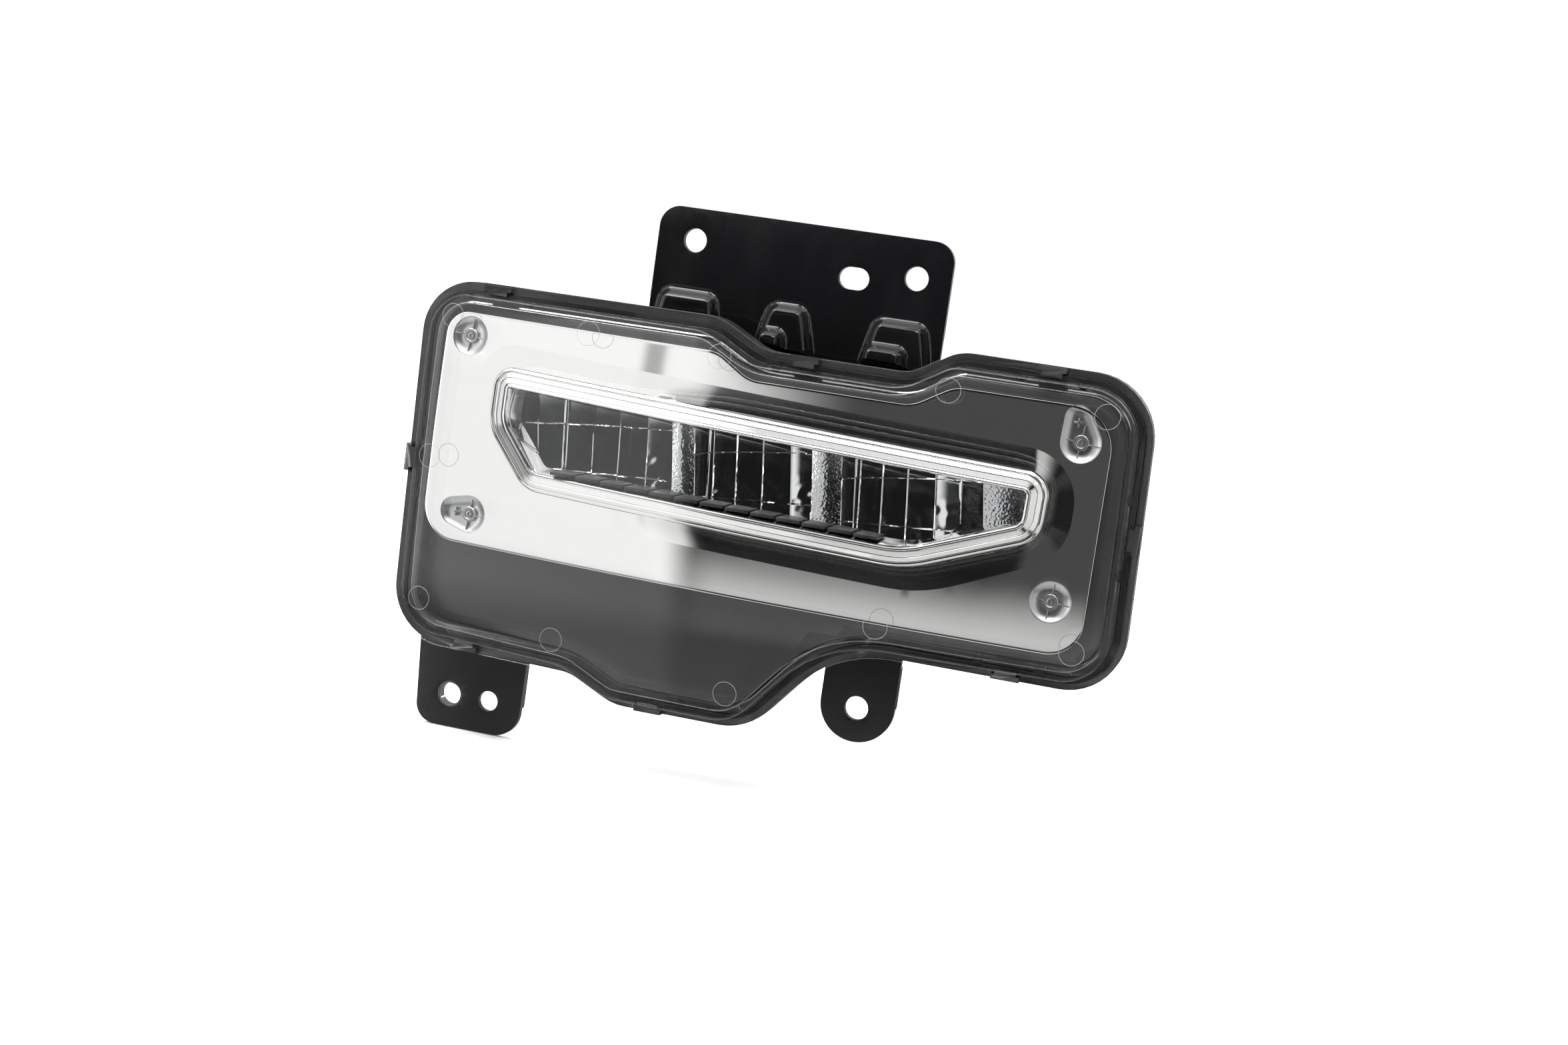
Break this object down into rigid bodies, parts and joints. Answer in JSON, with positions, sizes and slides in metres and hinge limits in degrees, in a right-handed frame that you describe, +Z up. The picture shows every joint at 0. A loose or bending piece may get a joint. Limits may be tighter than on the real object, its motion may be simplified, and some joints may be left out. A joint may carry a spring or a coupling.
{
  "type": "fog light",
  "caption": "LED fog lamp with a crowned clear lens over a bright bezel and a long slot reflector, on a black pressed steel bracket with a screw for vertical aim.",
  "frame": {"origin": "centre of the bracket's upper left mounting hole, on the plate's front face", "axes": "+X to the right as seen from the front, -Y forwards out of the lens, +Z up along the bracket's edge"},
  "size_m": [0.2484, 0.0775, 0.1899],
  "materials": {
    "bracket_black": "gloss black paint",
    "zinc_steel": "zinc plated",
    "housing_black": "moulded satin",
    "lens_clear": "clear hard-coated polycarbonate",
    "seal_black": "soft matt",
    "bezel_chrome": "metallised plastic",
    "mask_dark": "dark satin",
    "reflector_chrome": "metallised plastic",
    "board_white": "white solder mask",
    "led_yellow": "phosphor",
    "heat_sink_alu": "die cast",
    "pad_grey": "soft gap filler",
    "board_green": "green solder mask",
    "parts_dark": "moulded",
    "terminal_brass": "tin-free brass",
    "nylon_white": "natural nylon"
  },
  "bodies": {
    "bracket": {"bracket": "bracket_black", "left_rail": "bracket_black", "right_rail": "bracket_black", "cross_member": "bracket_black", "left_tab": "bracket_black", "right_tab": "bracket_black", "tab_bush": "zinc_steel", "pivot_pins": "zinc_steel", "aim_screw_bush": "nylon_white"},
    "lamp": {"housing": "housing_black", "pivot_bushes": "nylon_white", "outer_lens": "lens_clear", "lens_seal": "seal_black", "bezel": "bezel_chrome", "bezel_screws": "zinc_steel", "mask_panel": "mask_dark", "reflector": "reflector_chrome", "reflector_screws": "zinc_steel", "led_board": "board_white", "leds": "led_yellow", "led_board_screws": "zinc_steel", "heat_sink": "heat_sink_alu", "thermal_pad": "pad_grey", "heat_sink_gasket": "seal_black", "heat_sink_screws": "zinc_steel", "driver_board": "board_green", "driver_parts": "parts_dark", "driver_screws": "zinc_steel", "connector_socket": "housing_black", "connector_terminals": "terminal_brass", "vent_cap": "parts_dark", "aim_socket": "nylon_white"},
    "aim_screw": {"aim_screw": "zinc_steel", "aim_screw_clip": "zinc_steel"},
    "aim_nut": {"aim_nut": "nylon_white"}
  },
  "joints": [
    {"name": "lamp_tilt", "type": "hinge", "parent": "bracket", "child": "lamp", "pos_m": [0.0375, 0.012, -0.0688], "axis": [1, 0, 0], "range_deg": [-2.5, 2.5]},
    {"name": "aim_screw_turn", "type": "hinge", "parent": "bracket", "child": "aim_screw", "pos_m": [0.0375, 0.012, -0.1288], "axis": [0, 1, 0], "range_deg": [-472, 472]},
    {"name": "aim_nut_travel", "type": "slide", "parent": "bracket", "child": "aim_nut", "axis": [0, 1, 0], "range_m": [-0.0027, 0.0027]}
  ],
  "couplings": [
    {"joint": "aim_screw_turn", "follows": "lamp_tilt", "ratio": -188.5},
    {"joint": "aim_nut_travel", "follows": "lamp_tilt", "m_per_rad": 0.06}
  ]
}
